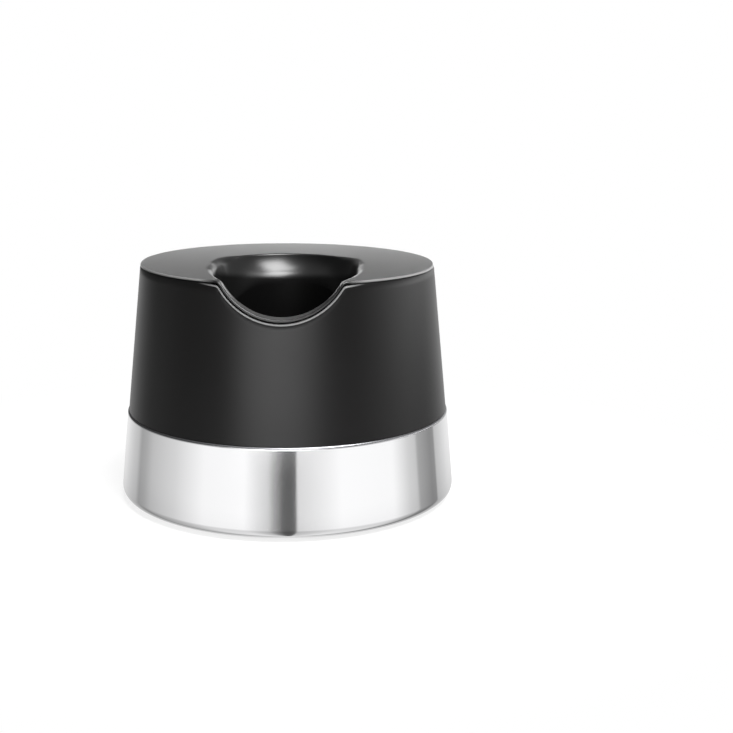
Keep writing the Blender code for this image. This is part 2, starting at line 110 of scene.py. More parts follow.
def grey_ramp(tree, stops):
    """Add a colour ramp with its (position, grey) stops."""
    node = new_node(tree, "ShaderNodeValToRGB")
    elements = node.color_ramp.elements
    while len(elements) < len(stops):
        elements.new(1.0)
    for element, (position, grey) in zip(elements, stops):
        element.position = position
        element.color = (grey, grey, grey, 1.0)
    return node


def join(tree, *pairs):
    """Link pairs of sockets, each an output and the input that it feeds."""
    for out_socket, in_socket in pairs:
        tree.links.new(out_socket, in_socket)


world = bpy.data.worlds.new("white_room")
world.use_nodes = True
bpy.context.scene.world = world
room = world.node_tree
room.nodes.clear()
direction = new_node(room, "ShaderNodeTexCoord")
split = new_node(room, "ShaderNodeSeparateXYZ")
forwards = new_node(room, "ShaderNodeMath", operation="MULTIPLY")
forwards.inputs[1].default_value = -1.0
round_angle = new_node(room, "ShaderNodeMath", operation="ARCTAN2")
round_share = share_between(room, -math.pi, math.pi)
join(room, (direction.outputs["Generated"], split.inputs[0]),
     (split.outputs["Y"], forwards.inputs[0]),
     (split.outputs["X"], round_angle.inputs[0]), (forwards.outputs[0], round_angle.inputs[1]),
     (round_angle.outputs[0], round_share.inputs["Value"]))


def wall_band(*stops):
    """A band round the room: greys at angles in degrees, 0 at the camera and + to its right."""
    band = grey_ramp(room, [((degrees + 180.0) / 360.0, grey) for degrees, grey in stops])
    join(room, (round_share.outputs[0], band.inputs[0]))
    return band


low_walls = wall_band((-180, 1.0), (-150, 0.84), (-131, 0.60), (-125, 0.54), (-120, 0.37),
                      (-112, 0.42), (-104, 0.54), (-80, 0.70), (-56, 1.0), (-27, 1.05),
                      (-17, 0.80), (-10.5, 0.66), (-8.0, 0.44), (-1, 0.13), (4, 0.11),
                      (7.2, 0.17), (8.2, 0.72), (20, 0.84), (38, 1.05), (78, 1.02), (93, 0.68),
                      (101, 0.60), (103, 0.40), (119, 0.27), (125.5, 0.30), (126.5, 0.55),
                      (150, 0.84), (180, 1.0))
panels = wall_band((-180, 0.20), (-150, 0.10), (-115, 0.10), (-98, 0.45), (-80, 0.12),
                   (-44, 0.15), (-38, 0.3), (-27, 7.0), (-8, 11.0), (8, 10.0), (18, 6.0),
                   (28, 0.6), (40, 0.05), (56, 0.3), (76, 2.0), (92, 3.8), (112, 4.0),
                   (124, 2.4), (142, 1.6), (158, 1.1), (168, 0.50), (180, 0.10))
high_walls = wall_band((-180, 0.25), (-160, 0.23), (-140, 0.10), (-100, 0.08), (0, 0.06),
                       (60, 0.25), (85, 0.6), (105, 0.6), (125, 0.35), (150, 0.4),
                       (165, 0.27), (180, 0.25))

# The bands are stacked by height: the direction's Z, from -1 straight down to 1 straight up.
ceiling_grey = 0.45
height_share = share_between(room, -1.0, 1.0)
floor_fall = grey_ramp(room, [(0.0, 0.95), (0.12, 0.88), (0.25, 0.78), (0.34, 0.90), (0.40, 1.0),
                              (0.5, 1.0)])
to_panels = share_between(room, -0.085, -0.02, shape="SMOOTHSTEP")
to_high_walls = share_between(room, 0.12, 0.30, shape="SMOOTHSTEP")
to_ceiling = share_between(room, 0.60, 0.80, shape="SMOOTHSTEP")
lower_room = new_node(room, "ShaderNodeMix", data_type="RGBA", blend_type="MULTIPLY")
lower_room.inputs["Factor"].default_value = 1.0
high_round = new_node(room, "ShaderNodeMix", data_type="RGBA")
upper_room = new_node(room, "ShaderNodeMix", data_type="RGBA")
upper_room.inputs["B"].default_value = (ceiling_grey, ceiling_grey, ceiling_grey, 1.0)
whole_room = new_node(room, "ShaderNodeMix", data_type="RGBA")
join(room, (split.outputs["Z"], height_share.inputs["Value"]),
     (height_share.outputs[0], floor_fall.inputs[0]),
     (low_walls.outputs[0], lower_room.inputs["A"]),
     (floor_fall.outputs[0], lower_room.inputs["B"]),
     (split.outputs["Z"], to_high_walls.inputs["Value"]),
     (to_high_walls.outputs[0], high_round.inputs["Factor"]),
     (panels.outputs[0], high_round.inputs["A"]), (high_walls.outputs[0], high_round.inputs["B"]),
     (split.outputs["Z"], to_ceiling.inputs["Value"]),
     (to_ceiling.outputs[0], upper_room.inputs["Factor"]),
     (high_round.outputs["Result"], upper_room.inputs["A"]),
     (split.outputs["Z"], to_panels.inputs["Value"]),
     (to_panels.outputs[0], whole_room.inputs["Factor"]),
     (lower_room.outputs["Result"], whole_room.inputs["A"]),
     (upper_room.outputs["Result"], whole_room.inputs["B"]))

# Only mirrored rays see the bands. The camera sees white, and matt surfaces an even grey.
even_grey = 0.30
rays = new_node(room, "ShaderNodeLightPath")
seen_direct = new_node(room, "ShaderNodeMath", operation="MAXIMUM")
seen_mirrored = new_node(room, "ShaderNodeMix", data_type="RGBA")
seen_mirrored.inputs["A"].default_value = (even_grey, even_grey, even_grey, 1.0)
shown = new_node(room, "ShaderNodeMix", data_type="RGBA")
shown.inputs["B"].default_value = (1.0, 1.0, 1.0, 1.0)
background = new_node(room, "ShaderNodeBackground")
room_out = new_node(room, "ShaderNodeOutputWorld")
join(room, (rays.outputs["Is Glossy Ray"], seen_mirrored.inputs["Factor"]),
     (whole_room.outputs["Result"], seen_mirrored.inputs["B"]),
     (rays.outputs["Is Camera Ray"], seen_direct.inputs[0]),
     (rays.outputs["Is Transmission Ray"], seen_direct.inputs[1]),
     (seen_direct.outputs[0], shown.inputs["Factor"]),
     (seen_mirrored.outputs["Result"], shown.inputs["A"]),
     (shown.outputs["Result"], background.inputs["Color"]),
     (background.outputs[0], room_out.inputs[0]))


def soft_light(name, place, target, size, watts):
    """A soft rectangular lamp of a given width and height that faces a point."""
    lamp_data = bpy.data.lights.new(name, "AREA")
    lamp_data.shape = "RECTANGLE"
    lamp_data.size, lamp_data.size_y = size
    lamp_data.energy = watts
    lamp = bpy.data.objects.new(name, lamp_data)
    lamp.location = place
    lamp.rotation_euler = (Vector(target) - Vector(place)).to_track_quat("-Z", "Y").to_euler()
    lamp.visible_camera = False
    bpy.context.scene.collection.objects.link(lamp)


soft_light("top_panel", place=(0.092, -0.117, 0.359), target=(0.0, -0.003, 0.03),
           size=(0.20, 0.23), watts=3.3)
soft_light("rear_card", place=(-0.001, 0.075, 0.0302), target=(-0.001, 0.0, 0.0302),
           size=(0.076, 0.018), watts=0.0135)


# Table: a plain white top, wide enough to fill the view, which isn't part of the stand.
# The camera sees it as white, with the stand's soft shadow on it. Mirrored rays pass through it
# to the room, with painted shade that makes it darker near the stand.
def deselect():
    """Leave nothing selected, because operators act on all that is."""
    for item in bpy.context.selected_objects:
        item.select_set(False)


def noise(tree, scale, detail):
    """Add a noise texture."""
    node = new_node(tree, "ShaderNodeTexNoise")
    node.inputs["Scale"].default_value = scale
    node.inputs["Detail"].default_value = detail
    return node


floor_size = 3.0
floor_height = 0.0
shadow_radii = (0.026, 0.075)
shadow_glow = (0.80, 1.0)
mirrored_reach = 0.06

deselect()
bpy.ops.mesh.primitive_plane_add(size=floor_size, location=(0.0, 0.0, floor_height))
table_top = bpy.context.active_object
table_top.name = "table_top"
paint = bpy.data.materials.new("white_table")
paint.use_nodes = True
tree = paint.node_tree
tree.nodes.clear()
coords = new_node(tree, "ShaderNodeTexCoord")
grain = noise(tree, scale=40.0, detail=2.0)
tint = grey_ramp(tree, [(0.3, 0.88), (0.7, 0.90)])
matt = new_node(tree, "ShaderNodeBsdfDiffuse")
distance = new_node(tree, "ShaderNodeVectorMath", operation="LENGTH")
past_shadow = share_between(tree, *shadow_radii, *shadow_glow, shape="SMOOTHSTEP")
rays = new_node(tree, "ShaderNodeLightPath")
glow_share = new_node(tree, "ShaderNodeMath", operation="MULTIPLY")
glow = new_node(tree, "ShaderNodeEmission")
glow.inputs["Strength"].default_value = 1.0
seen_top = new_node(tree, "ShaderNodeMixShader")
near_stand = share_between(tree, 0.0, mirrored_reach)
# Painted shade: mirrored rays that pass through the table near the stand are tinted darker.
mirrored_shade = grey_ramp(tree, [(0.40, 0.84), (0.50, 0.93), (0.66, 0.98), (0.80, 1.0)])
open_air = new_node(tree, "ShaderNodeBsdfTransparent")
surface = new_node(tree, "ShaderNodeMixShader")
table_out = new_node(tree, "ShaderNodeOutputMaterial")
join(tree, (coords.outputs["Object"], grain.inputs["Vector"]), (grain.outputs[0], tint.inputs[0]),
     (tint.outputs[0], matt.inputs["Color"]), (coords.outputs["Object"], distance.inputs[0]),
     (distance.outputs["Value"], past_shadow.inputs["Value"]),
     (rays.outputs["Is Camera Ray"], glow_share.inputs[0]),
     (past_shadow.outputs[0], glow_share.inputs[1]), (glow_share.outputs[0], seen_top.inputs[0]),
     (matt.outputs[0], seen_top.inputs[1]), (glow.outputs[0], seen_top.inputs[2]),
     (distance.outputs["Value"], near_stand.inputs["Value"]),
     (near_stand.outputs[0], mirrored_shade.inputs[0]),
     (mirrored_shade.outputs[0], open_air.inputs["Color"]),
     (rays.outputs["Is Glossy Ray"], surface.inputs[0]), (seen_top.outputs[0], surface.inputs[1]),
     (open_air.outputs[0], surface.inputs[2]), (surface.outputs[0], table_out.inputs[0]))
table_top.data.materials.append(paint)
table_top.select_set(False)


# Steel band: a turned ring with a slightly tapered side, polished to a mirror after turning.
# Its foot has a large round. Its upper lip has a small, matt one with painted shade, and the
# sleeve stands on it.
def ring_start(name, radius, height, sides):
    """Begin a turned piece with one ring of points."""
    deselect()
    bpy.ops.mesh.primitive_circle_add(vertices=sides, radius=radius, location=(0.0, 0.0, height))
    piece = bpy.context.active_object
    piece.name = piece.data.name = name
    bpy.ops.object.transform_apply(location=True, rotation=True, scale=True)
    bpy.ops.object.mode_set(mode="EDIT")
    bpy.ops.mesh.select_all(action="SELECT")
    return piece


def ring_steps(profile):
    """Extrude the selected ring through (radius, height) corners, as on a lathe drawing."""
    for (radius, height), (next_radius, next_height) in zip(profile, profile[1:]):
        bpy.ops.mesh.extrude_edges_move()
        ratio = next_radius / radius
        bpy.ops.transform.resize(value=(ratio, ratio, 1.0), center_override=(0.0, 0.0, 0.0))
        bpy.ops.transform.translate(value=(0.0, 0.0, next_height - height))


def ring_close(merge_within=0.000002):
    """Merge the ends where they meet and turn the faces outwards."""
    bpy.ops.mesh.select_all(action="SELECT")
    bpy.ops.mesh.remove_doubles(threshold=merge_within)
    bpy.ops.mesh.normals_make_consistent(inside=False)


def ring_round(piece, radius, height, reach, segments, near=0.00004):
    """Bevel the ring edge at one radius and height."""
    bpy.ops.object.mode_set(mode="OBJECT")
    on_ring = [abs(vertex.co.xy.length - radius) < near and abs(vertex.co.z - height) < near
               for vertex in piece.data.vertices]
    for face in piece.data.polygons:
        face.select = False
    for vertex in piece.data.vertices:
        vertex.select = False
    for edge in piece.data.edges:
        edge.select = all(on_ring[index] for index in edge.vertices)
    bpy.ops.object.mode_set(mode="EDIT")
    bpy.ops.mesh.select_mode(type="EDGE")
    bpy.ops.mesh.bevel(offset=reach, offset_type="OFFSET", segments=segments, profile=0.5)
    bpy.ops.mesh.select_mode(type="VERT")


def even_shading(piece, sharp_degrees):
    """Smooth a piece with its large faces leading, so that the small rounds stay crisp."""
    bpy.ops.object.shade_smooth_by_angle(angle=math.radians(sharp_degrees))
    even = piece.modifiers.new("even_shading", "WEIGHTED_NORMAL")
    even.keep_sharp = True
    bpy.ops.object.modifier_apply(modifier=even.name)
    piece.select_set(False)


steel_low, steel_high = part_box("steel_band")
band_foot, band_top = steel_low.z, steel_high.z
band_sides = 192
band_foot_radius = 0.02412
band_top_radius = 0.02296
band_bore = 0.0210
band_ledge = 0.0224
band_ledge_top = band_foot + 0.0013
foot_round = 0.0012
lip_round = 0.0003
lip_matt_shaded_heights = (band_top - lip_round * 1.4, band_top - lip_round * 0.7)
bore_round = 0.0003

steel = ring_start("steel_ring", band_foot_radius, band_foot, band_sides)
ring_steps([(band_foot_radius, band_foot), (band_top_radius, band_top), (band_bore, band_top),
            (band_bore, band_ledge_top), (band_ledge, band_ledge_top), (band_ledge, band_foot),
            (band_foot_radius, band_foot)])
ring_close()
lean = math.atan((band_foot_radius - band_top_radius) / (band_top - band_foot))
foot_reach = foot_round / math.tan((math.pi / 2 - lean) / 2)
lip_reach = lip_round / math.tan((math.pi / 2 + lean) / 2)
ring_round(steel, band_foot_radius, band_foot, foot_reach, segments=12)
ring_round(steel, band_top_radius, band_top, lip_reach, segments=8)
ring_round(steel, band_bore, band_top, bore_round, segments=3)
ring_close()
bpy.ops.object.mode_set(mode="OBJECT")
even_shading(steel, sharp_degrees=30.0)

polish = bpy.data.materials.new("mirror_steel")
polish.use_nodes = True
tree = polish.node_tree
shader = tree.nodes["Principled BSDF"]
shader.inputs["Metallic"].default_value = 1.0
coords = new_node(tree, "ShaderNodeTexCoord")
turned_grain = new_node(tree, "ShaderNodeMapping")
turned_grain.inputs["Scale"].default_value = (60.0, 60.0, 9000.0)
hairline = noise(tree, scale=1.0, detail=3.0)
lines = new_node(tree, "ShaderNodeBump")
lines.inputs["Strength"].default_value = 0.012
lines.inputs["Distance"].default_value = 0.00005
handling = noise(tree, scale=90.0, detail=4.0)
gloss = share_between(tree, 0.3, 0.75, 0.045, 0.085)
metal_tint = new_node(tree, "ShaderNodeValToRGB")
metal_tint.color_ramp.elements[0].color = (0.905, 0.905, 0.915, 1.0)
metal_tint.color_ramp.elements[1].color = (0.945, 0.945, 0.95, 1.0)
heights = new_node(tree, "ShaderNodeSeparateXYZ")
at_lip = share_between(tree, *lip_matt_shaded_heights)
lip_gloss = new_node(tree, "ShaderNodeMix", data_type="FLOAT")
lip_gloss.inputs["B"].default_value = 0.36
# Painted shade: the lip is coloured dark grey so that its glints come out dimmer.
lip_shade_tone = new_node(tree, "ShaderNodeMix", data_type="RGBA")
lip_shade_tone.inputs["B"].default_value = (0.22, 0.22, 0.23, 1.0)
join(tree, (coords.outputs["Object"], turned_grain.inputs["Vector"]),
     (turned_grain.outputs[0], hairline.inputs["Vector"]),
     (hairline.outputs[0], lines.inputs["Height"]), (lines.outputs[0], shader.inputs["Normal"]),
     (coords.outputs["Object"], heights.inputs[0]), (heights.outputs["Z"], at_lip.inputs["Value"]),
     (coords.outputs["Object"], handling.inputs["Vector"]),
     (handling.outputs[0], gloss.inputs["Value"]), (gloss.outputs[0], lip_gloss.inputs["A"]),
     (at_lip.outputs[0], lip_gloss.inputs["Factor"]),
     (lip_gloss.outputs[0], shader.inputs["Roughness"]),
     (handling.outputs[0], metal_tint.inputs[0]), (metal_tint.outputs[0], lip_shade_tone.inputs["A"]),
     (at_lip.outputs[0], lip_shade_tone.inputs["Factor"]),
     (lip_shade_tone.outputs["Result"], shader.inputs["Base Color"]))
steel.data.materials.append(polish)
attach(steel, "root")
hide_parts("steel_band")


# Sleeve: one tapered moulding in black plastic with a fine satin skin, standing on the steel.
# The round notch cuts down its rim in front, where its edge is rounded and clear of the cup's
# lip. Elsewhere the cup's flange sits tight on it.
stand_top = cad_high.z
sleeve_seam = steel_high.z
sleeve_foot_side = 0.02282
sleeve_top_side = 0.02065
sleeve_wall = 0.0014
old_skin_depth = sleeve_wall * 0.6
sleeve_lap = 0.0012
sleeve_edge = 0.00025
foot_edge = 0.00005
flange = 0.0003
rim_gap = 0.00025
tight_gap = 0.00001
notch_round = 0.00891
notch_lift = 0.00426
notch_corner = 0.0012
notch_reach = 0.0107
notch_fade = 0.0022
lower_half, upper_half = (0.0, 0.02), (0.02, 0.04)
side_rows = 24
edge_steps = 9

# Points round the rim, closer together in front, where the notch is.
rim_points = 416
front_crowding = 0.55
turns = np.arange(rim_points) * 2 * math.pi / rim_points
rim_angles = turns - front_crowding * np.sin(turns)
rim_sine, rim_cosine = np.sin(rim_angles), np.cos(rim_angles)
in_front = rim_cosine > 0
unmarked = np.zeros(rim_points)


def ring_at(radius, height):
    """A ring of points; the radius and the height are a number or one for each point."""
    height = np.broadcast_to(height, rim_angles.shape)
    return np.stack((radius * rim_sine, -radius * rim_cosine, height), axis=1)


def sleeve_side(height):
    """Radius of the tapered side at a height."""
    share = (height - sleeve_seam) / (stand_top - sleeve_seam)
    return sleeve_foot_side + (sleeve_top_side - sleeve_foot_side) * share


def rim_line(side, offset, drop=0.0, wider=0.0):
    """Height of the rim at a distance from the middle: flat, a convex corner, the notch."""
    side = np.abs(side)
    rise = notch_lift - drop
    hollow_round = notch_round + wider
    span = hollow_round + notch_corner
    start = np.sqrt(np.maximum(span ** 2 - np.maximum(rise + notch_corner, 0.0) ** 2, 0.0))
    bend = notch_corner - offset
    corner = stand_top - notch_corner + np.sqrt(np.maximum(bend ** 2 - (start - side) ** 2, 0.0))
    hollow = stand_top + rise - np.sqrt(np.maximum((hollow_round + offset) ** 2 - side ** 2, 0.0))
    on_corner = side >= start * (hollow_round + offset) / span
    return np.where(side >= start, stand_top - offset, np.where(on_corner, corner, hollow))


def rim_ring(offset, inset, reach=0.0, below=0.0, settling_rounds=8):
    """A ring of points along the rim, moved down by the offset and in from the side."""
    height = np.full(rim_points, stand_top)
    for _ in range(settling_rounds):
        radius = sleeve_side(height) - inset
        side = np.where(in_front, radius * rim_sine, radius)
        height = rim_line(side, offset)
    return ring_at(radius + reach, height - below)


near_notch = np.clip((notch_reach - np.abs(rim_ring(flange, 0.0)[:, 0])) / notch_fade, 0.0, 1.0)
near_notch = np.where(in_front, near_notch, 0.0)


def sleeve_rim(inset, reach=0.0, below=0.0):
    """A ring along the sleeve's own rim: clear of the cup's lip in the notch, tight elsewhere."""
    clear = rim_ring(flange + rim_gap, inset, reach, below)
    tight = rim_ring(flange + tight_gap, inset, reach, below)
    return clear * near_notch[:, None] + tight * (1 - near_notch[:, None])


def round_steps(first, last, steps):
    """Cosine and sine of the steps round an edge, from one angle to another in degrees."""
    return [(math.cos(math.radians(degrees)), math.sin(math.radians(degrees)))
            for degrees in np.linspace(first, last, steps)]


def ring_sheet(name, rings, marks):
    """Extrude a circle into a tube, set its rings on drawn ones, and store the painted-highlight
    marks.
    """
    deselect()
    bpy.ops.mesh.primitive_circle_add(vertices=rim_points, radius=1.0, location=(0.0, 0.0, 0.0))
    piece = bpy.context.active_object
    piece.name = piece.data.name = name
    bpy.ops.object.mode_set(mode="EDIT")
    bpy.ops.mesh.select_all(action="SELECT")
    for _ in rings[1:]:
        bpy.ops.mesh.extrude_edges_move()
        bpy.ops.transform.translate(value=(0.0, 0.0, 1.0))
    bpy.ops.object.mode_set(mode="OBJECT")
    points = np.empty(len(piece.data.vertices) * 3)
    piece.data.vertices.foreach_get("co", points)
    points = points.reshape(-1, 3)
    level = np.rint(points[:, 2]).astype(int)
    turned = np.arctan2(points[:, 0], -points[:, 1]) / (2 * math.pi)
    step = np.rint(turned * rim_points).astype(int) % rim_points
    piece.data.vertices.foreach_set("co", np.array(rings)[level, step].ravel())
    # The edge attribute holds the marks for a painted highlight along rounded edges.
    edge = piece.data.attributes.new("edge", "FLOAT", "POINT")
    edge.data.foreach_set("value", np.array(marks)[level, step].astype(np.float32))
    piece.data.update()
    return piece


def refined_copy(node, name, merge_within=0.000001):
    """A merged copy of a CAD node's mesh in a piece of its own, in quads where they fit."""
    piece = bpy.data.objects.new(name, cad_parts[node].data.copy())
    piece.data.name = name
    bpy.context.scene.collection.objects.link(piece)
    deselect()
    bpy.context.view_layer.objects.active = piece
    piece.select_set(True)
    piece.data.materials.clear()
    bpy.ops.mesh.customdata_custom_splitnormals_clear()
    bpy.ops.object.mode_set(mode="EDIT")
    bpy.ops.mesh.select_mode(type="VERT")
    bpy.ops.mesh.select_all(action="SELECT")
    bpy.ops.mesh.remove_doubles(threshold=merge_within)
    bpy.ops.mesh.tris_convert_to_quads(face_threshold=math.radians(30),
                                       shape_threshold=math.radians(60))
    bpy.ops.object.mode_set(mode="OBJECT")
    return piece


def drop_faces(piece, unwanted):
    """Delete the faces for which the test holds."""
    bpy.ops.object.mode_set(mode="EDIT")
    bpy.ops.mesh.select_mode(type="FACE")
    bpy.ops.mesh.select_all(action="DESELECT")
    bpy.ops.object.mode_set(mode="OBJECT")
    for face in piece.data.polygons:
        face.select = unwanted(face)
    bpy.ops.object.mode_set(mode="EDIT")
    bpy.ops.mesh.delete(type="FACE")
    bpy.ops.mesh.select_mode(type="VERT")
    bpy.ops.object.mode_set(mode="OBJECT")


def join_open(inside, outside, spans):
    """Join a CAD copy without its outer skin to the new skin, and bridge their open rings."""
    inside.select_set(True)
    outside.select_set(True)
    bpy.context.view_layer.objects.active = outside
    bpy.ops.object.join()
    for low, high in spans:
        bpy.ops.object.mode_set(mode="EDIT")
        bpy.ops.mesh.select_mode(type="EDGE")
        bpy.ops.mesh.select_all(action="DESELECT")
        bpy.ops.mesh.select_non_manifold(use_wire=False, use_multi_face=False,
                                         use_non_contiguous=False, use_verts=False)
        bpy.ops.object.mode_set(mode="OBJECT")
        for edge in outside.data.edges:
            if edge.select:
                ends = [outside.data.vertices[index].co.z for index in edge.vertices]
                edge.select = low < min(ends) and max(ends) < high
        bpy.ops.object.mode_set(mode="EDIT")
        bpy.ops.mesh.bridge_edge_loops()
        bpy.ops.object.mode_set(mode="OBJECT")
    bpy.ops.object.mode_set(mode="EDIT")
    bpy.ops.mesh.select_mode(type="VERT")
    bpy.ops.mesh.select_all(action="SELECT")
    bpy.ops.mesh.normals_make_consistent(inside=False)
    bpy.ops.object.mode_set(mode="OBJECT")


# The new skin runs from the seam on the steel up the side, round the edge and in over the rim.
seam_tight = sleeve_seam + tight_gap
skin_rings = [ring_at(sleeve_side(seam_tight) - sleeve_lap, seam_tight),
              ring_at(sleeve_side(seam_tight) - foot_edge, seam_tight)]
side_foot = ring_at(sleeve_side(seam_tight + foot_edge), seam_tight + foot_edge)[:, 2]
side_top = sleeve_rim(0.0, 0.0, sleeve_edge)[:, 2]
for share in np.linspace(0.0, 1.0, side_rows):
    height = side_foot + (side_top - side_foot) * share
    skin_rings.append(ring_at(sleeve_side(height), height))
skin_highlight_marks = [unmarked] * len(skin_rings)
# The notch's rounded edge is marked for the painted highlight line.
for across, up_by in round_steps(10, 90, edge_steps):
    skin_rings.append(sleeve_rim(0.0, -sleeve_edge * (1 - across), sleeve_edge * (1 - up_by)))
    skin_highlight_marks.append(near_notch)
skin_rings.append(sleeve_rim(sleeve_lap))
skin_highlight_marks.append(unmarked)
sleeve_inside = refined_copy("outer_sleeve", "sleeve_inside")
drop_faces(sleeve_inside, lambda face: face.center.z > sleeve_seam and
           face.center.xy.length > sleeve_side(face.center.z) - old_skin_depth)
sleeve = ring_sheet("black_sleeve", skin_rings, skin_highlight_marks)
join_open(sleeve_inside, sleeve, (lower_half, upper_half))
even_shading(sleeve, sharp_degrees=40.0)

# The skin of a moulding or casting: a fine grain and faint flow marks in its tone and gloss.
# Its marked edges are painted light grey, a painted highlight along their rounds.
grained_skin = bpy.data.node_groups.new("grained_skin", "ShaderNodeTree")
for way, sockets in (
        ("INPUT", (("Place", "Vector"), ("Grain Scale", "Float"), ("Dark", "Color"),
                   ("Light", "Color"), ("Smooth", "Float"), ("Rough", "Float"),
                   ("Highlight Share", "Float"), ("Painted Highlight", "Color"))),
        ("OUTPUT", (("Colour", "Color"), ("Gloss", "Float"), ("Grain", "Float")))):
    for label, kind in sockets:
        grained_skin.interface.new_socket(name=label, in_out=way, socket_type="NodeSocket" + kind)
given = new_node(grained_skin, "NodeGroupInput")
result = new_node(grained_skin, "NodeGroupOutput")
grain = noise(grained_skin, scale=1.0, detail=2.0)
flow = noise(grained_skin, scale=60.0, detail=3.0)
gloss = share_between(grained_skin, 0.3, 0.7)
tone_share = share_between(grained_skin, 0.25, 0.8)
tone = new_node(grained_skin, "ShaderNodeMix", data_type="RGBA")
edge_highlight = new_node(grained_skin, "ShaderNodeMix", data_type="RGBA")
join(grained_skin, (given.outputs["Place"], grain.inputs["Vector"]),
     (given.outputs["Grain Scale"], grain.inputs["Scale"]),
     (grain.outputs[0], result.inputs["Grain"]), (given.outputs["Place"], flow.inputs["Vector"]),
     (flow.outputs[0], gloss.inputs["Value"]), (given.outputs["Smooth"], gloss.inputs["To Min"]),
     (given.outputs["Rough"], gloss.inputs["To Max"]), (gloss.outputs[0], result.inputs["Gloss"]),
     (flow.outputs[0], tone_share.inputs["Value"]),
     (tone_share.outputs[0], tone.inputs["Factor"]),
     (given.outputs["Dark"], tone.inputs["A"]), (given.outputs["Light"], tone.inputs["B"]),
     (given.outputs["Highlight Share"], edge_highlight.inputs["Factor"]),
     (tone.outputs["Result"], edge_highlight.inputs["A"]), (given.outputs["Painted Highlight"], edge_highlight.inputs["B"]),
     (edge_highlight.outputs["Result"], result.inputs["Colour"]))


def grained_finish(name, dark, light, roughness, grain_size, grain_depth):
    """A material with the grained skin; gives it and its Principled shader."""
    material = bpy.data.materials.new(name)
    material.use_nodes = True
    tree = material.node_tree
    shader = tree.nodes["Principled BSDF"]
    coords = new_node(tree, "ShaderNodeTexCoord")
    # The edge attribute marks where a painted highlight lightens the rounded edges.
    edge = new_node(tree, "ShaderNodeAttribute", attribute_name="edge")
    skin = new_node(tree, "ShaderNodeGroup", node_tree=grained_skin)
    skin.inputs["Grain Scale"].default_value = 1.0 / grain_size
    skin.inputs["Dark"].default_value = (*dark, 1.0)
    skin.inputs["Light"].default_value = (*light, 1.0)
    skin.inputs["Smooth"].default_value, skin.inputs["Rough"].default_value = roughness
    # Painted highlight: the marked edges get this light grey.
    skin.inputs["Painted Highlight"].default_value = (0.15, 0.15, 0.15, 1.0)
    relief = new_node(tree, "ShaderNodeBump")
    relief.inputs["Strength"].default_value = 0.35
    relief.inputs["Distance"].default_value = grain_depth
    join(tree, (coords.outputs["Object"], skin.inputs["Place"]),
         (edge.outputs["Fac"], skin.inputs["Highlight Share"]),
         (skin.outputs["Colour"], shader.inputs["Base Color"]),
         (skin.outputs["Gloss"], shader.inputs["Roughness"]),
         (skin.outputs["Grain"], relief.inputs["Height"]),
         (relief.outputs[0], shader.inputs["Normal"]))
    return material, shader


sleeve_black, sleeve_shader = grained_finish(
    "satin_black", dark=(0.0024, 0.0023, 0.0023), light=(0.0032, 0.0030, 0.0031),
    roughness=(0.32, 0.37), grain_size=0.00016, grain_depth=0.000004)
sleeve_shader.inputs["Specular IOR Level"].default_value = 0.22
sleeve.data.materials.append(sleeve_black)
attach(sleeve, "root")
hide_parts("outer_sleeve")


# Cup: a second moulding in black plastic, a little glossier, snapped into the sleeve. Its skin
# has a thin flange, a bowl, a deep pocket and a spout whose lip follows the notch.
# The mould is polished down to the pocket and matt in it.
flange_lap = 0.0010
lip_edge = 0.0002
bowl_middle = -0.0021
bowl_side = 0.0100
bowl_hollow = 0.0060
bowl_rim_angle = math.radians(18.0)
bowl_lip_rear = 0.0003
bowl_lip_side = 0.0015
pocket_side = 0.0076
pocket_depth = 0.0182
pocket_draft = math.radians(8.0)
pocket_mouth = 0.0030
pocket_foot = 0.0016
pocket_cap = 0.0015
spout_fall = 0.0035
spout_run = 0.0090
spout_end = 0.0040
spout_flare = 0.0009
blend_power = 6
mouth_steps, foot_steps, dish_steps, lip_steps = 10, 10, 26, 14
top_rows = 42


def round_corner(across, height, radius, start, stop, steps):
    """Points of a round corner in a section, from one angle to another."""
    angles = np.linspace(start, stop, steps + 1)
    return [(across + radius * math.cos(a), height + radius * math.sin(a)) for a in angles]


def bowl_section(lip_radius):
    """The bowl and the pocket from the middle outwards, up to where the flat top begins."""
    dish_middle = bowl_side - bowl_hollow * math.cos(bowl_rim_angle)
    dish_lift = bowl_hollow * math.sin(bowl_rim_angle)
    mouth_middle = pocket_side + pocket_mouth * math.cos(pocket_draft)
    dish_end = math.acos((mouth_middle - dish_middle) / (bowl_hollow + pocket_mouth))
    mouth_drop = (bowl_hollow + pocket_mouth) * math.sin(dish_end) - dish_lift
    mouth = round_corner(mouth_middle, stand_top - mouth_drop, pocket_mouth,
                         math.pi - pocket_draft, math.pi - dish_end, mouth_steps)
    floor = stand_top - pocket_depth
    foot_middle = (mouth[0][0] - (mouth[0][1] - floor - pocket_foot) * math.tan(pocket_draft)
                   - pocket_foot / math.cos(pocket_draft))
    foot = round_corner(foot_middle, floor + pocket_foot, pocket_foot,
                        -math.pi / 2, -pocket_draft, foot_steps)
    lip_rise = dish_lift + lip_radius
    lip_across = math.sqrt((bowl_hollow + lip_radius) ** 2 - lip_rise ** 2)
    lip_angle = math.atan2(lip_rise, lip_across)
    dish = round_corner(dish_middle, stand_top + dish_lift, bowl_hollow,
                        -dish_end, -lip_angle, dish_steps)
    lip = round_corner(dish_middle + lip_across, stand_top - lip_radius, lip_radius,
                       math.pi - lip_angle, math.pi / 2, lip_steps)
    return np.array([(pocket_cap, floor)] + foot + mouth + dish[1:] + lip[1:])


def spout_depth(x, y):
    """Depth of the hollow that leads from the notch into the bowl."""
    front = -np.sqrt(np.maximum(sleeve_top_side ** 2 - x ** 2, 0.0))
    share = np.clip((y - front - sleeve_wall - rim_gap) / spout_run, 0.0, 1.0)
    past = np.maximum(y - bowl_middle, 0.0)
    drop = spout_fall * (1 - (1 - share) ** 2) - past ** 2 / (2 * spout_end)
    return stand_top - rim_line(x, 0.0, drop, spout_flare * share ** 2 * (3 - 2 * share))


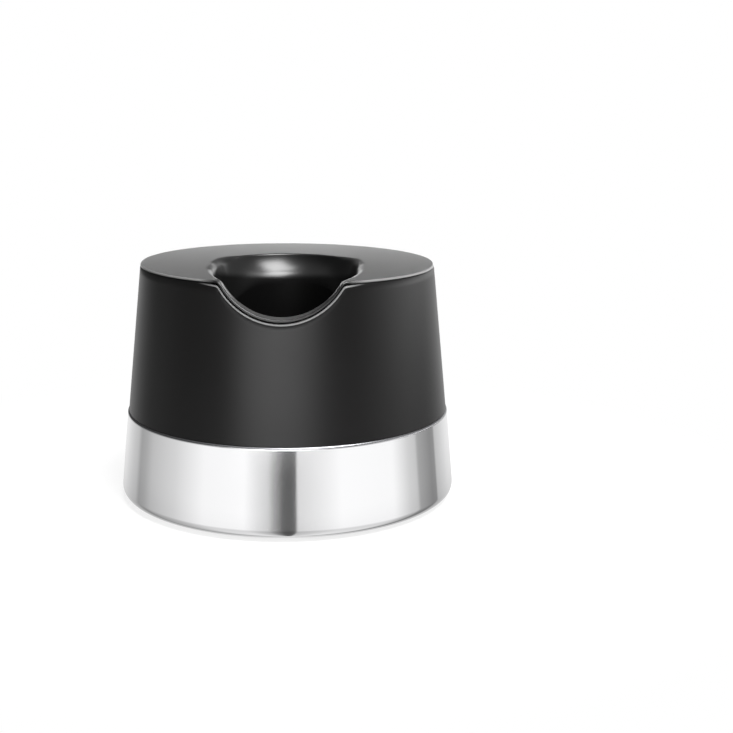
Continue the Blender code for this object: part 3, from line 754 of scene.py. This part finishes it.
# The flange and the lip's edge, then the flat top and the spout, then the bowl and the pocket.
brim = rim_ring(0.0, lip_edge)
cup_rings = [rim_ring(flange, flange_lap), rim_ring(flange, 0.0)]
cup_highlight_marks = [unmarked] * len(cup_rings)
# The flange's rounded edge, away from the notch, is marked for the painted highlight line.
for across, up_by in round_steps(0, 80, edge_steps):
    cup_rings.append(rim_ring(0.0, lip_edge, lip_edge * across, lip_edge * (1 - up_by)))
    cup_highlight_marks.append(1.0 - near_notch)
cup_rings.append(brim)
middle = np.array((0.0, bowl_middle))
inward = brim[:, :2] - middle
inward /= np.linalg.norm(inward, axis=1)[:, None]
sideways = np.clip(1.0 - inward[:, 1:], 0.0, 1.0)
sideways = (sideways ** 2 * (3 - 2 * sideways)) ** 2
bowl_rings = []
for rear, side in zip(bowl_section(bowl_lip_rear), bowl_section(bowl_lip_side)):
    plan = middle + inward * (rear[0] + (side[0] - rear[0]) * sideways)
    bowl_deep = stand_top - (rear[1] + (side[1] - rear[1]) * sideways[:, 0])
    deep = (spout_depth(*plan.T) ** blend_power + bowl_deep ** blend_power) ** (1 / blend_power)
    bowl_rings.append(np.column_stack((plan, stand_top - deep)))
for share in np.linspace(0.0, 1.0, top_rows)[1:-1]:
    plan = brim[:, :2] + (bowl_rings[-1][:, :2] - brim[:, :2]) * share
    cup_rings.append(np.column_stack((plan, stand_top - spout_depth(*plan.T))))
cup_rings += reversed(bowl_rings)
cup_highlight_marks += [unmarked] * (len(cup_rings) - len(cup_highlight_marks))
cup = ring_sheet("bowl_cup", cup_rings, cup_highlight_marks)
bpy.ops.object.mode_set(mode="EDIT")
bpy.ops.mesh.edge_face_add()
bpy.ops.object.mode_set(mode="OBJECT")


def linked_faces(piece, start):
    """The faces that can be reached from one face over shared edges."""
    beside = {}
    for face in piece.data.polygons:
        for key in face.edge_keys:
            beside.setdefault(key, []).append(face.index)
    reached, waiting = {start}, [start]
    while waiting:
        for key in piece.data.polygons[waiting.pop()].edge_keys:
            fresh = [index for index in beside[key] if index not in reached]
            reached.update(fresh)
            waiting.extend(fresh)
    return reached


# The rim and the side go from the CAD copy first. The old upper skin is then all that hangs
# together with the bottom of the pocket.
cup_inside = refined_copy("razor_cup", "cup_inside")
drop_faces(cup_inside, lambda face:
           face.center.xy.length > sleeve_side(face.center.z) - sleeve_wall)
over_pocket = [face for face in cup_inside.data.polygons if face.normal.z > 0.9
               and (face.center.xy - Vector((0.0, bowl_middle))).length < pocket_side / 2]
pocket_bottom = min(over_pocket, key=lambda face: abs(face.center.z - stand_top + pocket_depth))
old_skin = linked_faces(cup_inside, pocket_bottom.index)
drop_faces(cup_inside, lambda face: face.index in old_skin)
join_open(cup_inside, cup, (upper_half,))
even_shading(cup, sharp_degrees=40.0)

# The gloss fades out below a border that leans down towards the rear. The rim of the bowl and
# all that is near the brim keep it.
border_lean = 0.2
border_heights = (stand_top - 0.0025, stand_top - 0.0014)
rim_heights = (stand_top - 0.0012, stand_top - 0.0006)
brim_radii = (0.0165, 0.0185)
pocket_roughness = 0.50
cup_black, cup_shader = grained_finish(
    "cup_black", dark=(0.0016, 0.0016, 0.0016), light=(0.0024, 0.0024, 0.0024),
    roughness=(0.28, 0.31), grain_size=0.00020, grain_depth=0.000002)
cup_shader.inputs["Specular IOR Level"].default_value = 0.045
cup_shader.inputs["Coat Roughness"].default_value = 0.30
cup_shader.inputs["Coat IOR"].default_value = 1.42
tree = cup_black.node_tree
skin_roughness = cup_shader.inputs["Roughness"].links[0].from_socket
coords = new_node(tree, "ShaderNodeTexCoord")
parts = new_node(tree, "ShaderNodeSeparateXYZ")
border_height = new_node(tree, "ShaderNodeMath", operation="MULTIPLY_ADD")
border_height.inputs[1].default_value = border_lean
above_pocket = share_between(tree, *border_heights, shape="SMOOTHSTEP")
near_top = share_between(tree, *rim_heights)
flat = new_node(tree, "ShaderNodeCombineXYZ")
from_middle = new_node(tree, "ShaderNodeVectorMath", operation="LENGTH")
at_brim = share_between(tree, *brim_radii, shape="SMOOTHSTEP")
polished_rim = new_node(tree, "ShaderNodeMath", operation="MAXIMUM")
polished = new_node(tree, "ShaderNodeMath", operation="MAXIMUM")
cup_roughness = new_node(tree, "ShaderNodeMix", data_type="FLOAT")
cup_roughness.inputs["A"].default_value = pocket_roughness
join(tree, (coords.outputs["Object"], parts.inputs[0]),
     (parts.outputs["Y"], border_height.inputs[0]), (parts.outputs["Z"], border_height.inputs[2]),
     (border_height.outputs[0], above_pocket.inputs["Value"]),
     (parts.outputs["Z"], near_top.inputs["Value"]),
     (parts.outputs["X"], flat.inputs["X"]), (parts.outputs["Y"], flat.inputs["Y"]),
     (flat.outputs[0], from_middle.inputs[0]),
     (from_middle.outputs["Value"], at_brim.inputs["Value"]),
     (near_top.outputs[0], polished_rim.inputs[0]), (at_brim.outputs[0], polished_rim.inputs[1]),
     (above_pocket.outputs[0], polished.inputs[0]), (polished_rim.outputs[0], polished.inputs[1]),
     (polished.outputs[0], cup_roughness.inputs["Factor"]),
     (skin_roughness, cup_roughness.inputs["B"]),
     (cup_roughness.outputs[0], cup_shader.inputs["Roughness"]),
     (polished.outputs[0], cup_shader.inputs["Coat Weight"]))
cup.data.materials.append(cup_black)
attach(cup, "root")
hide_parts("razor_cup")


# Base: a black moulded tray with a rubber pad under it, a cast iron weight in it, and three
# zinc-plated screws that hold it to the sleeve. All of it is hidden and keeps its CAD meshes.
def dress(material, *nodes):
    """Give CAD nodes a material."""
    for node in nodes:
        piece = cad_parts[node]
        piece.data.materials.clear()
        piece.data.materials.append(material)


tray_black, _ = grained_finish(
    "tray_black", dark=(0.010, 0.010, 0.010), light=(0.014, 0.014, 0.014),
    roughness=(0.5, 0.6), grain_size=0.0003, grain_depth=0.00001)
dress(tray_black, "base_tray")
rubber, _ = grained_finish(
    "pad_rubber", dark=(0.012, 0.012, 0.012), light=(0.020, 0.020, 0.020),
    roughness=(0.75, 0.9), grain_size=0.0004, grain_depth=0.00003)
dress(rubber, "non_slip_pad")
iron, iron_shader = grained_finish(
    "grey_iron", dark=(0.08, 0.08, 0.085), light=(0.14, 0.135, 0.13),
    roughness=(0.5, 0.7), grain_size=0.0006, grain_depth=0.00006)
iron_shader.inputs["Metallic"].default_value = 1.0
dress(iron, "ballast_weight")
zinc, zinc_shader = grained_finish(
    "bright_zinc", dark=(0.55, 0.56, 0.58), light=(0.66, 0.67, 0.70),
    roughness=(0.25, 0.38), grain_size=0.0002, grain_depth=0.00001)
zinc_shader.inputs["Metallic"].default_value = 1.0
dress(zinc, "base_screw_1", "base_screw_2", "base_screw_3")
